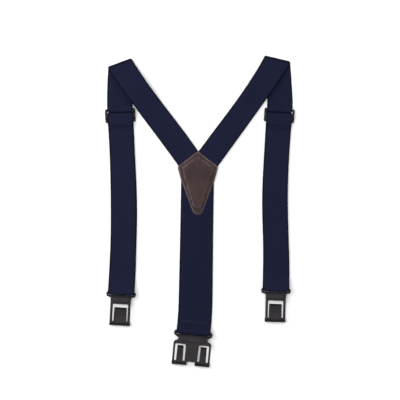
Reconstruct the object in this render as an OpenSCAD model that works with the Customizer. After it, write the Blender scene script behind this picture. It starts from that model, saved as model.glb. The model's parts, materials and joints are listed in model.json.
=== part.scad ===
// Y-back elastic suspenders, laid out flat and folded at the shoulders.
// X runs across the wearer, Y towards the shoulders, Z up from the surface they lie on.

/* [Webbing] */
// Width of the shoulder and front webbing
strap_w = 38.1; // [36:0.1:38.5]
// Thickness of the shoulder and front webbing
strap_t = 1.5; // [1.4:0.05:1.5]
// Width of the back webbing
back_w = 52; // [46:0.1:52.4]
// Thickness of the back webbing
back_t = 1.6; // [1.4:0.05:1.6]

/* [Adjusters] */
// Width of the adjuster, along the bars
slider_w = 48; // [48:0.5:52]
// Height of the adjuster, across the bars
slider_h = 21.6; // [21.4:0.1:22.5]
// Width of each of the three bars
slider_bar = 3.4; // [3:0.1:3.6]
// Width of the side rails
slider_rail = 3.4; // [3:0.1:4.4]

/* [Belt clips] */
// Width of the front clips' hook
hook_w = 32.2; // [28:0.2:34]
// Width of the back clip's double hook
back_hook_w = 59.8; // [56:0.2:60]
// Width over the ends of a front clip's webbing bar
wings_w = 46.8; // [46:0.2:50]
// Width over the ends of the back clip's webbing bar
back_wings_w = 61; // [60.6:0.2:64]
// Length from a front clip's webbing bar to the bottom of its hook
hook_l = 51.8; // [50:0.2:58]
// Length from the back clip's webbing bar to the bottom of its hooks
back_hook_l = 52.8; // [52:0.2:58]
// Gap that the belt goes into
belt_gap = 4.6; // [4.2:0.1:5]
// Thickness of the clip's plate and of its tongue
clip_t = 2.3; // [2:0.1:2.5]

/* [Leather patch] */
// Thickness of the leather shield
leather_t = 1.5; // [1.2:0.1:1.8]
// Thickness of the lining on the wearer's side
lining_t = 0.9; // [0.6:0.1:0.9]

/* [Hidden] */

$fn = 48;
LEFT = 0;
RIGHT = 1;

// Heights of the layers. The lower layer lies on the surface.
layer_gap = 0.3;
inner_z = strap_t / 2;
outer_z = strap_t * 1.5 + layer_gap;
shoulder_z = lining_t + back_t;
seam = 0.1;

// Where the shoulders fold: the outer and the inner corner of each fold line.
fold_outer = [[-145.2, 226.8], [143.2, 234.6]];
fold_inner = [[-107.2, 241.0], [101.6, 244.45]];
// Places and turns of the adjusters and of the front clips' webbing bars.
slider_at = [[-125.9, 152.2], [125.75, 152.4]];
slider_turn = [3, -4];
clip_at = [[-124.4, -128.6], [120.36, -123.0]];
clip_turn = [-3, -1.5];
// How far each front strap bows sideways between its adjuster and its clip.
strap_bow = [4.6, -2.6];
back_clip_at = [-10.1, -191.1];
back_clip_turn = -5.3;

// The weave of the webbing through an adjuster.
bar_z = 1.2;
bar_t = 2.2;
centre_bar_z = 3.3;
fit = 0.1;
over_bar_z = bar_z + bar_t + fit / 2 + strap_t / 2;
under_bar_z = inner_z + fit;
dip_y = 4.4;
wrap_from = 1.5;
wrap_to = 2.4;
rise = [4.2, 5.2];
weave_top = 24;
weave_end = 30;
tail_end = 17.5;
hem_row = 14.8;
layer_step = strap_t + fit;

// The loop round a clip's bar.
bar_r = 1.6;
knob_r = 4;
knob_y = -1.9;
loop_fit = 0.15;
clip_h = belt_gap + 2 * clip_t;
bar_height = clip_h - bar_r;
plate_top = -3.9;
knob_bottom = -5.4;
neck_y = -7.4;
shoulder_y = -8.8;
lip_l = 1.6;
lip_h = 0.6;
window_rim = 2.6;
window_w = 24.8;
window_top = -17.2;
tongue_w = 18.4;
tongue_top = -23.2;
back_neck_w = 46;
back_neck_y = -9;
back_shoulder_y = -16;
back_window_x = 18.4;
back_window_w = 16.4;
back_window_top = -19.6;
back_tongue_w = 9.8;
back_tongue_top = -22.2;
notch_w = 6.8;
notch_h = 6.2;
loop_l = 26;
back_loop_l = 33;
back_tail_l = 21;
back_rows = [15, 18];

// Shares of a front strap's length below its adjuster: the last stretch is the elastic end.
elastic_from = 0.9;
run_steps = 20;

// The patch's place across, and its outline from the top to the bottom.
patch_x = -3.2;
patch_round = 4;
patch_half = [[27.6, 70], [22.6, 50], [4.6, -1]];
patch_apex = 91;
panel_half = [[22.6, 69], [17.9, 50], [4.9, 8.2]];
panel_apex = 86;
panel_round = 3;
patch_z = shoulder_z + strap_t + fit;
pad_inset = 1.5;
stitch_inset = 2;
row_inset = 3;
thread_w = 0.5;
thread_h = 0.3;
stitch_l = 2.4;
stitch_pitch = 3.4;

function unit(v) = v / norm(v);
function turned(v, a) = [v[0] * cos(a) - v[1] * sin(a), v[0] * sin(a) + v[1] * cos(a)];
function side_normal(p, q) = let (d = unit(q - p)) [-d[1], d[0]];
function backwards(line) = [for (i = [len(line) - 1:-1:0]) line[i]];
function shield(apex, half) = concat([[0, apex]], [for (p = half) [-p[0], p[1]]], backwards(half));

// The point h to the side of corner i of an open line, mitred.
function beside(line, i, h) =
    let (last = len(line) - 1,
        n0 = side_normal(line[max(i - 1, 0)], line[max(i, 1)]),
        n1 = side_normal(line[min(i, last - 1)], line[min(i + 1, last)]),
        m = unit(n0 + n1))
    line[i] + h / (m * n1) * m;

// A band of webbing: its side view follows line, given as [y, z], and it is w wide across X.
module band(line, t, w) {
    top = [for (i = [0:len(line) - 1]) beside(line, i, t / 2)];
    bottom = [for (i = [len(line) - 1:-1:0]) beside(line, i, -t / 2)];
    rotate([90, 0, 90])
        linear_extrude(height = w, center = true)
            polygon(concat(top, bottom));
}

// A flat outline with true arcs of radius r round its corners, which run anticlockwise.
module rounded(corners, r) {
    n = len(corners);
    polygon([for (i = [0:n - 1]) for (k = [n - 1, n])
        corners[i] - r * side_normal(corners[(i + k) % n], corners[(i + k + 1) % n])]);
    for (c = corners)
        translate(c)
            circle(r);
}

module rounded_box(w, h, r) {
    x = w / 2 - r;
    y = h / 2 - r;
    rounded([[-x, -y], [x, -y], [x, y], [-x, y]], r);
}

// A row of stitches from p to q.
module stitch_row(p, q, z) {
    count = floor(norm(q - p) / stitch_pitch);
    step = (q - p) / count;
    for (i = [0:count - 1])
        translate(concat(p + (i + 0.5) * step, z))
            rotate(atan2(step[1], step[0]))
                translate([-stitch_l / 2, -thread_w / 2, 0])
                    cube([stitch_l, thread_w, thread_h]);
}

// ---- Leather patch ----

module patch_back() {
    color([0.18, 0.13, 0.12])
        translate([patch_x, 0, 0])
            linear_extrude(lining_t)
                rounded(shield(patch_apex, patch_half), patch_round - 1);
}

module patch_front() {
    color([0.29, 0.22, 0.22])
        translate([patch_x, 0, patch_z])
            difference() {
                union() {
                    linear_extrude(leather_t)
                        offset(patch_round)
                            polygon(shield(patch_apex, patch_half));
                    linear_extrude(2 * leather_t)
                        offset(panel_round)
                            polygon(shield(panel_apex, panel_half));
                }
                translate([0, 0, -1])
                    linear_extrude(leather_t + 1)
                        offset(panel_round - pad_inset)
                            polygon(shield(panel_apex, panel_half));
            }
}

module patch_pad() {
    color("dimgray")
        translate([patch_x, 0, patch_z])
            linear_extrude(leather_t - fit)
                offset(panel_round - pad_inset - fit)
                    polygon(shield(panel_apex, panel_half));
}

module patch_stitching() {
    corners = shield(patch_apex + stitch_inset, [for (p = patch_half) p + [stitch_inset / 2, 0]]);
    color([0.16, 0.12, 0.12])
        translate([patch_x, 0, 0])
            for (i = [0:len(corners) - 1])
                stitch_row(corners[i], corners[(i + 1) % len(corners)], patch_z + leather_t);
}

// ---- Back strap and back clip ----

module on_back_clip() {
    translate(concat(back_clip_at, 0))
        rotate(back_clip_turn)
            children();
}

module back_strap() {
    half = back_w / 2;
    top = [patch_x, 70];
    cut = 7; // the corners under the patch are cut off
    under = 8;
    ends = [for (x = [-half, half]) back_clip_at + turned([x, back_loop_l + seam], back_clip_turn)];
    hidden = [[half, 0], [half - cut, under], [cut - half, under], [-half, 0]];
    color([0.13, 0.14, 0.22])
        translate([0, 0, lining_t])
            linear_extrude(back_t)
                polygon(concat(ends, [for (p = hidden) top + p]));
}

// Round the clip's bar, with the end folded behind and sewn.
module back_hem() {
    r = bar_r + loop_fit + back_t / 2;
    low = back_t / 2;
    high = low + back_t + layer_gap;
    strap_z = lining_t + back_t / 2;
    flat_from = back_rows[0] - 1.6;
    arc = [for (a = [-78:-17:-282]) [r * cos(a), bar_height + r * sin(a)]];
    line = concat([[back_tail_l, low], [flat_from, low]], arc, [[flat_from, high], [back_tail_l + 2, high],
        [back_tail_l + 7, strap_z], [back_loop_l, strap_z]]);
    color([0.13, 0.14, 0.22])
        on_back_clip()
            band(line, back_t, back_w);
}

module back_stitching() {
    z = 2 * back_t + layer_gap;
    color([0.1, 0.11, 0.19])
        on_back_clip()
            for (y = back_rows)
                stitch_row([row_inset - back_w / 2, y], [back_w / 2 - row_inset, y], z);
}

// ---- Belt clips ----

// The bar that the webbing goes round, between two knobs that are round on the outside.
module webbing_bar(w) {
    inner = w / 2 - knob_r;
    translate([0, 0, bar_height])
        rotate([0, 90, 0])
            cylinder(h = 2 * inner + 2, r = bar_r, center = true);
    for (side = [-1, 1])
        translate([side * inner, knob_y, bar_height - bar_r])
            linear_extrude(2 * bar_r)
                intersection() {
                    circle(knob_r);
                    translate([side * knob_r, 0])
                        square([2 * knob_r, 2 * knob_r + 1], center = true);
                }
}

// The bend at the bottom of a hook of length l, which joins the plate to the tongue.
module hook_bend(w, l) {
    r = clip_h / 2;
    translate([0, r - l, r])
        rotate([0, 90, 0])
            intersection() {
                difference() {
                    cylinder(h = w, r = r, center = true);
                    cylinder(h = w + 1, r = r - clip_t, center = true);
                }
                translate([0, -r, 0])
                    cube([2 * r, 2 * r, w], center = true);
            }
}

// A tongue behind the plate of a hook of length l, with a lip at its free end.
module tongue(x, w, top, l) {
    translate([x - w / 2, clip_h / 2 - l, 0])
        cube([w, l - clip_h / 2 + top, clip_t]);
    translate([x - w / 2, top - lip_l, clip_t])
        cube([w, lip_l, lip_h]);
}

// The plate: from the knobs it narrows to a neck, and below that it is as wide as the hook.
module clip_plate(wings, neck_w, neck_y, w, shoulder_y, l) {
    s = wings / 2 - 1;
    n = neck_w / 2;
    b = w / 2;
    right = [[b, clip_h / 2 - l], [b, shoulder_y], [n, neck_y], [s, knob_bottom], [s, plate_top]];
    left = [for (p = backwards(right)) [-p[0], p[1]]];
    translate([0, 0, clip_h - clip_t])
        linear_extrude(clip_t)
            polygon(concat(right, left));
}

// What is cut away in front of a tongue, down into the bend.
module window(x, w, top, l) {
    bottom = window_rim - l;
    translate([x - w / 2, bottom, clip_h / 2])
        cube([w, top - bottom, clip_h]);
}

module front_clip() {
    difference() {
        union() {
            clip_plate(wings_w, hook_w + 1, neck_y, hook_w, shoulder_y, hook_l);
            hook_bend(hook_w, hook_l);
        }
        window(0, window_w, window_top, hook_l);
    }
    webbing_bar(wings_w);
    tongue(0, tongue_w, tongue_top, hook_l);
}

module double_clip() {
    leg_w = back_hook_w / 2 - notch_w;
    difference() {
        union() {
            clip_plate(back_wings_w, back_neck_w, back_neck_y, back_hook_w, back_shoulder_y, back_hook_l);
            for (side = [-1, 1])
                translate([side * (notch_w + leg_w / 2), 0, 0])
                    hook_bend(leg_w, back_hook_l);
        }
        for (side = [-1, 1])
            window(side * back_window_x, back_window_w, back_window_top, back_hook_l);
        translate([0, -back_hook_l, clip_h])
            cube([2 * notch_w, 2 * notch_h, 2 * clip_h], center = true);
    }
    webbing_bar(back_wings_w);
    for (side = [-1, 1])
        tongue(side * back_window_x, back_tongue_w, back_tongue_top, back_hook_l);
}

module back_clip() {
    color([0.1, 0.1, 0.11])
        on_back_clip()
            double_clip();
}

// ---- One shoulder, LEFT or RIGHT ----

// The shoulder strap's corners where it goes under the patch.
shoulder_end = [[[-40.7, 81.9], [-31, 68], [patch_x - seam, 66], [patch_x - seam, 95.5]],
    [[35.6, 81.9], [26, 68], [patch_x + seam, 66], [patch_x + seam, 95.5]]];

module shoulder_strap(s) {
    color([0.13, 0.14, 0.22])
        translate([0, 0, shoulder_z])
            linear_extrude(strap_t)
                polygon(concat([fold_outer[s]], shoulder_end[s], [fold_inner[s]]));
}

// The half turn from the upper layer to the lower one.
module shoulder_fold(s) {
    d = fold_inner[s] - fold_outer[s];
    away = s == LEFT ? 0 : 180; // the turn bulges away from the straps
    r = (shoulder_z + strap_t) / 2;
    color([0.13, 0.14, 0.22])
        translate(concat(fold_outer[s] + d / 2, r))
            rotate(atan2(d[1], d[0]) + away)
                rotate([90, 0, 90])
                    linear_extrude(height = norm(d), center = true)
                        difference() {
                            circle(r);
                            circle(r - strap_t);
                            translate([-2 * r + seam, -r - 1])
                                square([2 * r, 2 * r + 2]);
                        }
}

function slider_point(s, x, y) = slider_at[s] + turned([x, y], slider_turn[s]);
function clip_point(s, x, y) = clip_at[s] + turned([x, y], clip_turn[s]);

module front_strap(s) {
    half = strap_w / 2;
    out = s == LEFT ? -half : half;
    down = [0, -seam];
    color([0.13, 0.14, 0.22])
        linear_extrude(strap_t)
            polygon([fold_outer[s] + down, slider_point(s, out, weave_top + seam),
                slider_point(s, -out, weave_top + seam), fold_inner[s] + down]);
}

module on_slider(s) {
    translate(concat(slider_at[s], 0))
        rotate(slider_turn[s])
            children();
}

module slider(s) {
    slot_w = slider_w - 2 * slider_rail;
    slot_h = (slider_h - 3 * slider_bar) / 2;
    slot_y = slider_bar / 2 + slot_h / 2;
    rail_x = slider_w / 2 - slider_rail / 2;
    top = centre_bar_z + bar_t;
    shoulder = bar_z + bar_t + 0.2;
    color([0.1, 0.1, 0.11])
        on_slider(s) {
            translate([0, 0, bar_z])
                linear_extrude(bar_t)
                    difference() {
                        rounded_box(slider_w, slider_h, 2.6);
                        square([slot_w, 2 * slot_h + slider_bar], center = true);
                    }
            translate([-slider_w / 2 + slider_rail / 2, -slider_bar / 2, centre_bar_z])
                cube([slider_w - slider_rail, slider_bar, bar_t]);
            for (side = [-1, 1])
                translate([side * rail_x, 0, 0])
                    rotate([90, 0, 90])
                        linear_extrude(height = slider_rail, center = true)
                            polygon([[-slot_y - 2, bar_z + 1], [slot_y + 2, bar_z + 1], [slot_y, shoulder],
                                [slider_bar, top], [-slider_bar, top], [-slot_y, shoulder]]);
        }
}

// Half of the line that the webbing takes over an outer bar, step layers above the lowest.
function over_bar(step) = [[6.5 - step * 0.5, over_bar_z + step * layer_step],
    [11.8 + step * 0.6, over_bar_z + step * layer_step], [16.3 + step * 0.6, inner_z + step * layer_step]];
function to_the_clip(line) = [for (p = line) [-p[0], p[1]]];

module slider_strap(s) {
    line = concat([[weave_top, inner_z]], backwards(over_bar(0)), [[dip_y, under_bar_z], [-dip_y, under_bar_z]],
        to_the_clip(over_bar(0)), [[-weave_end, inner_z]]);
    color([0.13, 0.14, 0.22])
        on_slider(s)
            band(line, strap_t, strap_w);
}

// The end of the webbing, wrapped round the centre bar, folded behind and sewn.
module slider_hem(s) {
    y = slider_bar / 2 + fit + strap_t / 2;
    low = centre_bar_z - fit - strap_t / 2;
    high = centre_bar_z + bar_t + fit + strap_t / 2;
    c = 0.55;
    wrap = [[-wrap_from, high], [y - c, high], [y, high - c], [y, low + c], [y - c, low], [-wrap_to, low],
        [-rise[0], rise[1]]];
    low_from = -tail_end - 4.5;
    high_to = -tail_end - 0.8;
    step_down = [[-weave_end, outer_z], [low_from, outer_z], [high_to, inner_z + 2 * layer_step]];
    outside = concat(step_down, backwards(to_the_clip(over_bar(2))));
    tail = concat(to_the_clip(over_bar(1)), [[-tail_end, inner_z + layer_step]]);
    color([0.13, 0.14, 0.22])
        on_slider(s)
            band(concat(outside, wrap, tail), strap_t, strap_w);
}

module hem_stitching(s) {
    line = over_bar(2);
    slope = (line[1][1] - line[2][1]) / (line[2][0] - line[1][0]);
    uphill = hem_row - thread_w / 2;
    z = line[2][1] + slope * (line[2][0] - uphill) + strap_t / 2 * sqrt(1 + slope * slope);
    half = strap_w / 2 - row_inset;
    color([0.1, 0.11, 0.19])
        on_slider(s)
            stitch_row([-half, -hem_row], [half, -hem_row], z);
}

// One edge of the run between the adjuster and the clip, at a share t of the way down.
function run_edge(s, x, t) =
    (1 - t) * slider_point(s, x, -weave_end - seam) + t * clip_point(s, x, loop_l + seam)
    + [strap_bow[s] * sin(180 * t), 0];

module run(s, t0, t1, z) {
    half = strap_w / 2;
    steps = [for (i = [0:run_steps]) t0 + (t1 - t0) * i / run_steps];
    color([0.13, 0.14, 0.22])
        translate([0, 0, z - strap_t / 2])
            linear_extrude(strap_t)
                polygon(concat([for (t = steps) run_edge(s, -half, t)],
                    [for (t = backwards(steps)) run_edge(s, half, t)]));
}

// Round the clip's bar, from the layer on the surface to the one above it.
module clip_loop(s) {
    r = bar_r + loop_fit + strap_t / 2;
    arc = [for (a = [-78:-17:-290]) [r * cos(a), bar_height + r * sin(a)]];
    low = [[loop_l, inner_z], [loop_l - 5, inner_z]];
    high = [[loop_l - 4, outer_z], [loop_l, outer_z]];
    line = concat(low, arc, high);
    color([0.13, 0.14, 0.22])
        translate(concat(clip_at[s], 0))
            rotate(clip_turn[s])
                band(line, strap_t, strap_w);
}

module side_clip(s) {
    color([0.1, 0.1, 0.11])
        translate(concat(clip_at[s], 0))
            rotate(clip_turn[s])
                front_clip();
}

patch_back();
patch_front();
patch_pad();
patch_stitching();
back_strap();
back_hem();
back_stitching();
back_clip();
shoulder_strap(LEFT);  // left_shoulder_strap
shoulder_fold(LEFT);  // left_shoulder_fold
front_strap(LEFT);  // left_front_strap
slider(LEFT);  // left_slider
slider_strap(LEFT);  // left_slider_strap
slider_hem(LEFT);  // left_slider_hem
hem_stitching(LEFT);  // left_hem_stitching
run(LEFT, 0, elastic_from, inner_z);  // left_inner_run
run(LEFT, 0, elastic_from, outer_z);  // left_outer_run
run(LEFT, elastic_from, 1, inner_z);  // left_inner_end
run(LEFT, elastic_from, 1, outer_z);  // left_outer_end
clip_loop(LEFT);  // left_clip_loop
side_clip(LEFT);  // left_clip
shoulder_strap(RIGHT);  // right_shoulder_strap
shoulder_fold(RIGHT);  // right_shoulder_fold
front_strap(RIGHT);  // right_front_strap
slider(RIGHT);  // right_slider
slider_strap(RIGHT);  // right_slider_strap
slider_hem(RIGHT);  // right_slider_hem
hem_stitching(RIGHT);  // right_hem_stitching
run(RIGHT, 0, elastic_from, inner_z);  // right_inner_run
run(RIGHT, 0, elastic_from, outer_z);  // right_outer_run
run(RIGHT, elastic_from, 1, inner_z);  // right_inner_end
run(RIGHT, elastic_from, 1, outer_z);  // right_outer_end
clip_loop(RIGHT);  // right_clip_loop
side_clip(RIGHT);  // right_clip
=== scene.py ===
"""Y-back elastic suspenders, laid out flat and folded at the shoulders, seen from straight above.

Lengths are in millimetres until a mesh is made; mesh_piece() and plate() turn them into metres.
"""

import json
import math

import bmesh
import bpy
import numpy as np
from mathutils import Matrix, Vector


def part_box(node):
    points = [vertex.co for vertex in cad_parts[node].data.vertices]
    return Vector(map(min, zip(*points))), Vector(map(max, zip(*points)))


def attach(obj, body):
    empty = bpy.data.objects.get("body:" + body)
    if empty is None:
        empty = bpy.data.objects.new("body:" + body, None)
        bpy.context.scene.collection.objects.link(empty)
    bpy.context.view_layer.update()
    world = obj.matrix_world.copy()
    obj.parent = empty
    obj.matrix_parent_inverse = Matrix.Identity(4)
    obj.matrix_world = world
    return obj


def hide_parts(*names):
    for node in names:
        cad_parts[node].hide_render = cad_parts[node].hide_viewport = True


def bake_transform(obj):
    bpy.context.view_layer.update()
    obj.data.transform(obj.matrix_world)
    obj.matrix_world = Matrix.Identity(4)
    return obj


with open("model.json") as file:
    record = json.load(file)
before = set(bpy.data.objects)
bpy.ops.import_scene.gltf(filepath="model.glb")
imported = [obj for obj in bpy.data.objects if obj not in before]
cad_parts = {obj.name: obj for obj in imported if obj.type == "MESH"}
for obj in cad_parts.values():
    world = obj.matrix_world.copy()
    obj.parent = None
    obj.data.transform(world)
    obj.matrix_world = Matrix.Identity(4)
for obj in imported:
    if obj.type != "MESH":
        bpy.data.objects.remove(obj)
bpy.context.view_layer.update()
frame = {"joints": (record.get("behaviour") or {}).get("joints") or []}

MM = 0.001
SIDES = ("left", "right")
JOINTS = {joint["name"]: joint for joint in frame["joints"]}

# ---------------------------------------------------------------- camera, floor and light

VIEW_WIDTH = 634.0  # of the surface, across the picture
VIEW_CENTRE = (0.24, 18.5)
CAMERA_HEIGHT = 3000.0


def make_camera():
    data = bpy.data.cameras.new("camera")
    data.lens = data.sensor_width * CAMERA_HEIGHT / VIEW_WIDTH
    data.clip_end = 50
    camera = bpy.data.objects.new("camera", data)
    camera.location = (VIEW_CENTRE[0] * MM, VIEW_CENTRE[1] * MM, CAMERA_HEIGHT * MM)
    bpy.context.scene.collection.objects.link(camera)
    bpy.context.scene.camera = camera


def make_floor():
    bpy.ops.mesh.primitive_plane_add(size=30, location=(0, 0, -0.0001))
    floor = bpy.context.object
    floor.name = "floor"
    floor.data.materials.append(Shader("floor", 0.9, 0.1, Base_Color=(0.93, 0.93, 0.93, 1)).material)


def make_light(name, location, size, watts):
    data = bpy.data.lights.new(name, "AREA")
    data.size = size
    data.energy = watts
    light = bpy.data.objects.new(name, data)
    light.location = location
    light.rotation_euler = (-Vector(location)).to_track_quat("-Z", "Y").to_euler()
    bpy.context.scene.collection.objects.link(light)


def make_studio():
    world = bpy.data.worlds.new("studio")
    world.use_nodes = True
    background = world.node_tree.nodes["Background"]
    background.inputs["Color"].default_value = (1, 1, 1, 1)
    background.inputs["Strength"].default_value = 0.22
    bpy.context.scene.world = world
    make_light("overhead", (-0.5, 0.1, 3.3), 3.6, 108)
    make_light("left", (-1.4, 0.5, 1.1), 0.8, 17)
    make_light("right", (1.2, 1.4, 1.2), 0.8, 12)
    bpy.context.scene.view_settings.view_transform = "Standard"


# ---------------------------------------------------------------- materials


class Shader:
    """A Principled material, with short names for the nodes that feed it."""

    def __init__(self, name, roughness, specular, **constants):
        self.material = bpy.data.materials.new(name)
        self.material.use_nodes = True
        self.tree = self.material.node_tree
        self.bsdf = self.tree.nodes["Principled BSDF"]
        self.bsdf.inputs["Roughness"].default_value = roughness
        self.bsdf.inputs["Specular IOR Level"].default_value = specular
        for socket, value in constants.items():
            self.bsdf.inputs[socket.replace("_", " ")].default_value = value

    def node(self, kind, inputs=(), **settings):
        made = self.tree.nodes.new(kind)
        for key, value in settings.items():
            setattr(made, key, value)
        for socket, value in dict(inputs).items():
            if isinstance(value, bpy.types.NodeSocket):
                self.tree.links.new(value, made.inputs[socket])
            else:
                made.inputs[socket].default_value = value
        return made

    def math(self, operation, a, b=0.0, c=0.0):
        return self.node("ShaderNodeMath", {0: a, 1: b, 2: c}, operation=operation).outputs[0]

    def times(self, a, b):
        return self.math("MULTIPLY", a, b)

    def wave(self, value, pitch):
        """A sine of value that repeats every pitch metres, from -1 to 1."""
        return self.math("SINE", self.times(value, 2 * math.pi / pitch))

    def ramp(self, value, low, high, to_low=0.0, to_high=1.0):
        """value from low to high becomes to_low to to_high, smoothly."""
        inputs = {0: value, 1: low, 2: high, 3: to_low, 4: to_high}
        return self.node("ShaderNodeMapRange", inputs, interpolation_type="SMOOTHSTEP").outputs[0]

    def noise(self, scale, detail=2.0, roughness=0.5, vector=None):
        where = vector if vector is not None else self.where()
        inputs = {"Vector": where, "Scale": scale, "Detail": detail, "Roughness": roughness}
        return self.node("ShaderNodeTexNoise", inputs).outputs["Fac"]

    def where(self):
        return self.node("ShaderNodeTexCoord").outputs["Object"]

    def attribute(self, name):
        return self.node("ShaderNodeAttribute", attribute_name=name)

    def mix(self, factor, a, b):
        a, b = (c if isinstance(c, bpy.types.NodeSocket) else (*c, 1) for c in (a, b))
        return self.node("ShaderNodeMix", {"Factor": factor, 6: a, 7: b}, data_type="RGBA").outputs[2]

    def link(self, socket, value):
        self.tree.links.new(value, self.bsdf.inputs[socket])

    def bump(self, height, distance, strength=1.0):
        made = self.node("ShaderNodeBump", {"Height": height, "Distance": distance, "Strength": strength})
        self.link("Normal", made.outputs[0])


NAVY = (0.0135, 0.0165, 0.0440)
NAVY_DEEP = (0.0060, 0.0070, 0.0200)
NAVY_LINT = (0.034, 0.038, 0.072)
# Painted shade for the webbing's edges and folds, partly the darker selvedge.
NAVY_EDGE_SHADE = (0.0012, 0.0014, 0.004)
# Painted highlight colour for the leather's high edges, partly polish.
POLISH_AND_HIGHLIGHT = (0.17, 0.135, 0.15)


def webbing_material(name, shade):
    """Elastic webbing: crosswise ribs over lengthwise cords, with tighter selvedges, and edges and folds
    darkened, partly darker selvedge and partly painted shade.
    """
    shader = Shader(name, 0.9, 0.06)
    navy = tuple(shade * c for c in NAVY)
    strip = shader.node("ShaderNodeSeparateXYZ", {0: shader.attribute("strip").outputs["Vector"]})
    across, along, inset = strip.outputs
    body = shader.ramp(inset, 0.0024, 0.0031)
    weave = shader.times(shader.wave(across, 0.0013), shader.wave(along, 0.0011))
    ribs = shader.wave(along, 0.00055)
    cords = shader.wave(across, 0.0009)
    woven = shader.math("ADD", shader.times(weave, 0.6), shader.times(ribs, 0.4))
    selvedge = shader.math("ADD", shader.times(cords, 0.7), shader.times(ribs, 0.3))
    height = shader.node("ShaderNodeMix", {0: body, 2: selvedge, 3: woven}).outputs[0]
    lint = shader.ramp(shader.noise(900.0, 3.0, 0.7), 0.62, 0.80)
    cloudy = shader.noise(28.0, 3.0, 0.55)
    colour = shader.mix(shader.math("MULTIPLY_ADD", height, 0.22, 0.42), NAVY_DEEP, navy)
    colour = shader.mix(shader.times(lint, 0.30), colour, NAVY_LINT)
    colour = shader.mix(shader.ramp(cloudy, 0.35, 0.7, 0.0, 0.22), colour, NAVY_DEEP)
    # Painted shade, partly a darker selvedge: the colour falls to near black over the last 3 mm to each edge
    # and to each sharp fold.
    colour = shader.mix(shader.ramp(inset, 0.0003, 0.0028, 0.95, 0.0), colour, NAVY_EDGE_SHADE)
    shader.link("Base Color", colour)
    shader.link("Roughness", shader.ramp(height, -1.0, 1.0, 0.92, 0.74))
    shader.bump(height, 0.00009, 0.8)
    return shader.material


def leather_material(name, dark, light, scale=1.0):
    """Embossed leather: fine pebble grain, soft creases, and a paler colour on its high edges that is partly
    polish and partly a painted highlight.
    """
    shader = Shader(name, 0.45, 0.15)
    where = shader.where()
    pebbles = {"Vector": where, "Scale": 1150.0 * scale}
    cells = shader.node("ShaderNodeTexVoronoi", pebbles, feature="SMOOTH_F1")
    grain = shader.ramp(cells.outputs["Distance"], 0.05, 0.55)
    creases = shader.noise(210.0, 5.0, 0.62)
    patina = shader.noise(34.0, 4.0, 0.6)
    wear = shader.attribute("wear").outputs["Fac"]
    colour = shader.mix(shader.ramp(patina, 0.32, 0.68), dark, light)
    colour = shader.mix(shader.times(grain, 0.30), colour, tuple(0.5 * c for c in dark))
    # Painted highlight, partly polish: the paler colour is strongest on the bevels and near the flange's
    # edge, where the leather would catch the light.
    polish_and_highlight = shader.times(wear, shader.ramp(creases, 0.35, 0.6, 0.10, 0.55))
    colour = shader.mix(polish_and_highlight, colour, POLISH_AND_HIGHLIGHT)
    shader.link("Base Color", colour)
    shader.link("Roughness", shader.ramp(creases, 0.3, 0.7, 0.55, 0.38))
    height = shader.math("MULTIPLY_ADD", grain, -0.7, shader.times(creases, 0.8))
    shader.bump(height, 0.00016, 0.7)
    return shader.material


def plastic_material(name):
    """Black moulded acetal: a soft gloss, faint flow marks and fine handling scratches."""
    shader = Shader(name, 0.34, 0.19, Specular_Tint=(1.0, 0.9, 1.0, 1.0))
    where = shader.where()
    flow = shader.noise(70.0, 3.0, 0.5)
    stretched = shader.node("ShaderNodeMapping", {"Vector": where, "Scale": (900.0, 60.0, 400.0)}).outputs[0]
    scratches = shader.noise(1.0, 4.0, 0.7, stretched)
    pits = shader.noise(2600.0, 2.0, 0.5)
    colour = shader.mix(shader.ramp(flow, 0.3, 0.7), (0.0045, 0.0042, 0.0050), (0.0085, 0.0078, 0.0088))
    shader.link("Base Color", colour)
    shader.link("Roughness", shader.ramp(scratches, 0.35, 0.75, 0.30, 0.48))
    shader.bump(shader.math("MULTIPLY_ADD", scratches, 0.5, shader.times(pits, 0.5)), 0.00003, 0.5)
    return shader.material


def thread_material(name, colour):
    """Twisted sewing thread."""
    shader = Shader(name, 0.6, 0.35, Sheen_Weight=0.15)
    where = shader.node("ShaderNodeSeparateXYZ", {0: shader.where()})
    lean = shader.math("ADD", where.outputs[0], where.outputs[1])
    twist = shader.wave(lean, 0.0005)
    fuzz = shader.noise(1500.0, 3.0, 0.6)
    dark = tuple(0.45 * c for c in colour)
    shader.link("Base Color", shader.mix(shader.ramp(twist, -1.0, 1.0), dark, colour))
    shader.link("Roughness", shader.ramp(fuzz, 0.3, 0.7, 0.5, 0.75))
    shader.bump(twist, 0.00006, 0.8)
    return shader.material


def felt_material(name):
    shader = Shader(name, 0.95, 0.1, Sheen_Weight=0.2)
    fibres = shader.noise(1400.0, 5.0, 0.7)
    shader.link("Base Color", shader.mix(fibres, (0.10, 0.10, 0.105), (0.24, 0.24, 0.25)))
    shader.bump(fibres, 0.0003, 0.8)
    return shader.material


# ---------------------------------------------------------------- lines and curves


def turned(vector, degrees):
    a = math.radians(degrees)
    x, y = vector
    return np.array([x * math.cos(a) - y * math.sin(a), x * math.sin(a) + y * math.cos(a)])


def unit(vector):
    return np.asarray(vector, float) / np.linalg.norm(vector)


def smooth(x, low, high):
    """0 up to low, 1 from high, and smooth between them."""
    t = np.clip((np.asarray(x, float) - low) / (high - low), 0, 1)
    return t * t * (3 - 2 * t)


FILLET_STEPS = 5


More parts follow.
